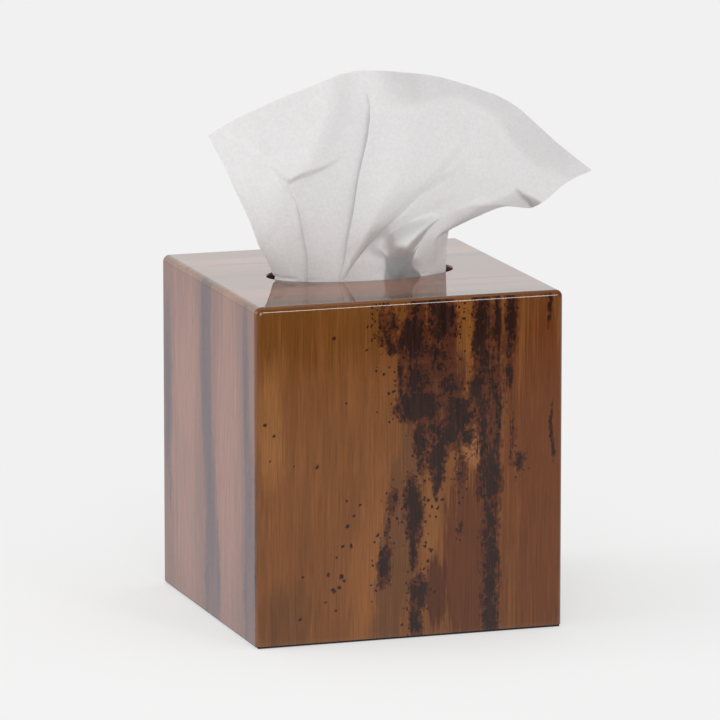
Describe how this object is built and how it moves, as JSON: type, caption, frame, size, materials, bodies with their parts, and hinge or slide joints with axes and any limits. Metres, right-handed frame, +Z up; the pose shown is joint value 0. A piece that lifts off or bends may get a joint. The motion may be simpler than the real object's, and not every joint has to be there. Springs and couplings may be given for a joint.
{
  "type": "tissue box cover",
  "caption": "Square tissue box cover in glossy bark veneer with an oval slot, standing on felt over a carton of tissues, with a tissue fanned out of the slot.",
  "frame": {"origin": "on the table, under the middle of the oval slot", "axes": "+Z up, the front face looks along -Y, the slot's long axis lies along X"},
  "size_m": [0.174, 0.14, 0.2395],
  "materials": {
    "bark_veneer": "natural bark veneer under clear gloss lacquer",
    "carcass_board": "raw fibreboard, sealed matt inside",
    "felt": "black felt",
    "carton_board": "plain folding boxboard, unprinted",
    "film": "clear plastic film",
    "tissue_paper": "soft white tissue paper"
  },
  "bodies": {
    "contents": {"tissue_carton": "carton_board", "slit_film": "film", "tissue_stack": "tissue_paper", "next_tissue": "tissue_paper"},
    "cover": {"front_veneer": "bark_veneer", "right_veneer": "bark_veneer", "back_veneer": "bark_veneer", "left_veneer": "bark_veneer", "top_veneer": "bark_veneer", "front_panel": "carcass_board", "right_panel": "carcass_board", "back_panel": "carcass_board", "left_panel": "carcass_board", "top_panel": "carcass_board", "corner_block_front_left": "carcass_board", "corner_block_front_right": "carcass_board", "corner_block_back_right": "carcass_board", "corner_block_back_left": "carcass_board", "felt_strip_front": "felt", "felt_strip_right": "felt", "felt_strip_back": "felt", "felt_strip_left": "felt"},
    "tissue": {"pulled_tissue": "tissue_paper"}
  },
  "joints": [
    {"name": "cover_lift", "type": "slide", "parent": "contents", "child": "cover", "axis": [0, 0, 1], "range_m": [0, 0.16]},
    {"name": "tissue_pull", "type": "slide", "parent": "cover", "child": "tissue", "axis": [0, 0, 1], "range_m": [0, 0.08]}
  ]
}
